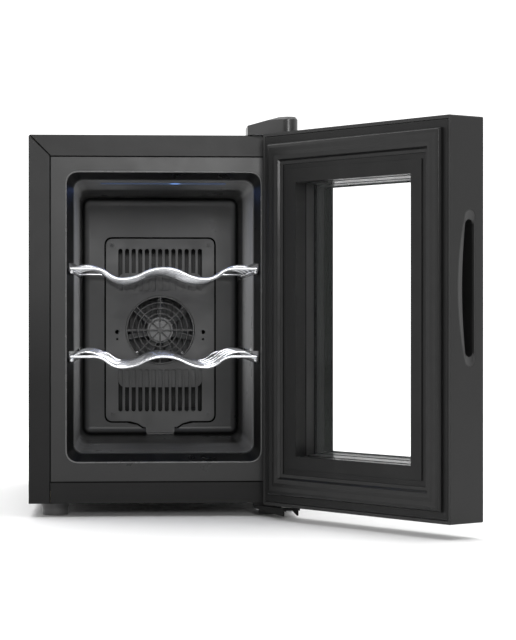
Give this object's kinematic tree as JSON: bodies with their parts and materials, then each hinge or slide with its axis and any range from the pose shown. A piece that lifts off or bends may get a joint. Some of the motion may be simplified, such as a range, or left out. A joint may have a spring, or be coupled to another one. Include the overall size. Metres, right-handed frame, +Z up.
{
  "type": "wine cooler",
  "caption": "Compact thermoelectric wine cooler: black cabinet, hinged triple-glazed door, wave-wire bottle shelves, fan-cooled cold side and rubber feet.",
  "frame": {"origin": "on the floor, at the centre of the four feet", "axes": "+Z up; the cabinet's front faces -Y; the hinge side is +X; the door is stored open by 125 degrees"},
  "size_m": [0.3924, 0.6983, 0.3715],
  "materials": {
    "black_steel": "satin black powder coat",
    "black_plastic": "fine satin",
    "liner_plastic": "satin black",
    "dark_plastic": "matt",
    "foam": "rigid polyurethane foam",
    "rubber": "matt",
    "chrome": "polished",
    "zinc_steel": "zinc plated",
    "aluminium": "extruded",
    "glass": "clear",
    "lens": "frosted",
    "ceramic": "ceramic",
    "circuit_board": "solder mask",
    "magnet": "matt",
    "brass": "plain",
    "bush_plastic": "acetal"
  },
  "bodies": {
    "cabinet": {"outer_wrap": "black_steel", "base_pan": "black_steel", "rear_panel": "black_steel", "inner_liner": "liner_plastic", "foam_insulation": "foam", "foot_front_left": "rubber", "foot_front_right": "rubber", "foot_rear_left": "rubber", "foot_rear_right": "rubber", "fan_cover": "liner_plastic", "inner_fan_guard": "dark_plastic", "inner_fan_frame": "dark_plastic", "cold_sink": "aluminium", "cold_block": "aluminium", "thermoelectric_module": "ceramic", "module_seal": "dark_plastic", "hot_sink": "aluminium", "hot_fan_frame": "dark_plastic", "light_lens": "lens", "led_board": "circuit_board", "temperature_sensor": "dark_plastic", "power_supply_tray": "zinc_steel", "power_supply_board": "circuit_board", "power_supply_components": "dark_plastic", "mains_inlet": "dark_plastic", "inlet_pins": "brass", "cover_screws": "black_steel", "module_screws": "zinc_steel", "rear_panel_screws": "black_steel", "inlet_screws": "zinc_steel", "top_hinge_screws": "zinc_steel", "bottom_hinge_screws": "zinc_steel", "top_hinge_plate": "zinc_steel", "top_hinge_pin": "zinc_steel", "top_hinge_cover": "black_plastic", "bottom_hinge_bracket": "black_steel", "bottom_hinge_pin": "zinc_steel", "hinge_washer": "bush_plastic"},
    "door": {"door_outer_frame": "black_plastic", "door_inner_frame": "black_plastic", "front_glass": "glass", "middle_glass": "glass", "inner_glass": "glass", "outer_spacer": "dark_plastic", "inner_spacer": "dark_plastic", "door_gasket": "rubber", "gasket_magnets": "magnet", "handle_liner": "dark_plastic", "control_board": "circuit_board", "control_display": "dark_plastic", "top_hinge_bush": "bush_plastic", "bottom_hinge_bush": "bush_plastic"},
    "upper_shelf": {"upper_shelf_rods": "chrome", "upper_shelf_wires": "chrome"},
    "lower_shelf": {"lower_shelf_rods": "chrome", "lower_shelf_wires": "chrome"},
    "inner_fan": {"inner_fan_rotor": "dark_plastic"},
    "hot_fan": {"hot_fan_rotor": "dark_plastic"}
  },
  "joints": [
    {"name": "door_hinge", "type": "hinge", "parent": "cabinet", "child": "door", "pos_m": [0.11465, -0.2557, 0.18], "axis": [0, 0, 1], "range_deg": [-125, 10]},
    {"name": "upper_shelf_slide", "type": "slide", "parent": "cabinet", "child": "upper_shelf", "axis": [0, -1, 0], "range_m": [0, 0.2]},
    {"name": "lower_shelf_slide", "type": "slide", "parent": "cabinet", "child": "lower_shelf", "axis": [0, -1, 0], "range_m": [0, 0.2]},
    {"name": "inner_fan_spin", "type": "hinge", "parent": "cabinet", "child": "inner_fan", "pos_m": [0, 0.115, 0.172], "axis": [0, 1, 0], "continuous": true},
    {"name": "hot_fan_spin", "type": "hinge", "parent": "cabinet", "child": "hot_fan", "pos_m": [0, 0.21, 0.172], "axis": [0, 1, 0], "continuous": true}
  ]
}
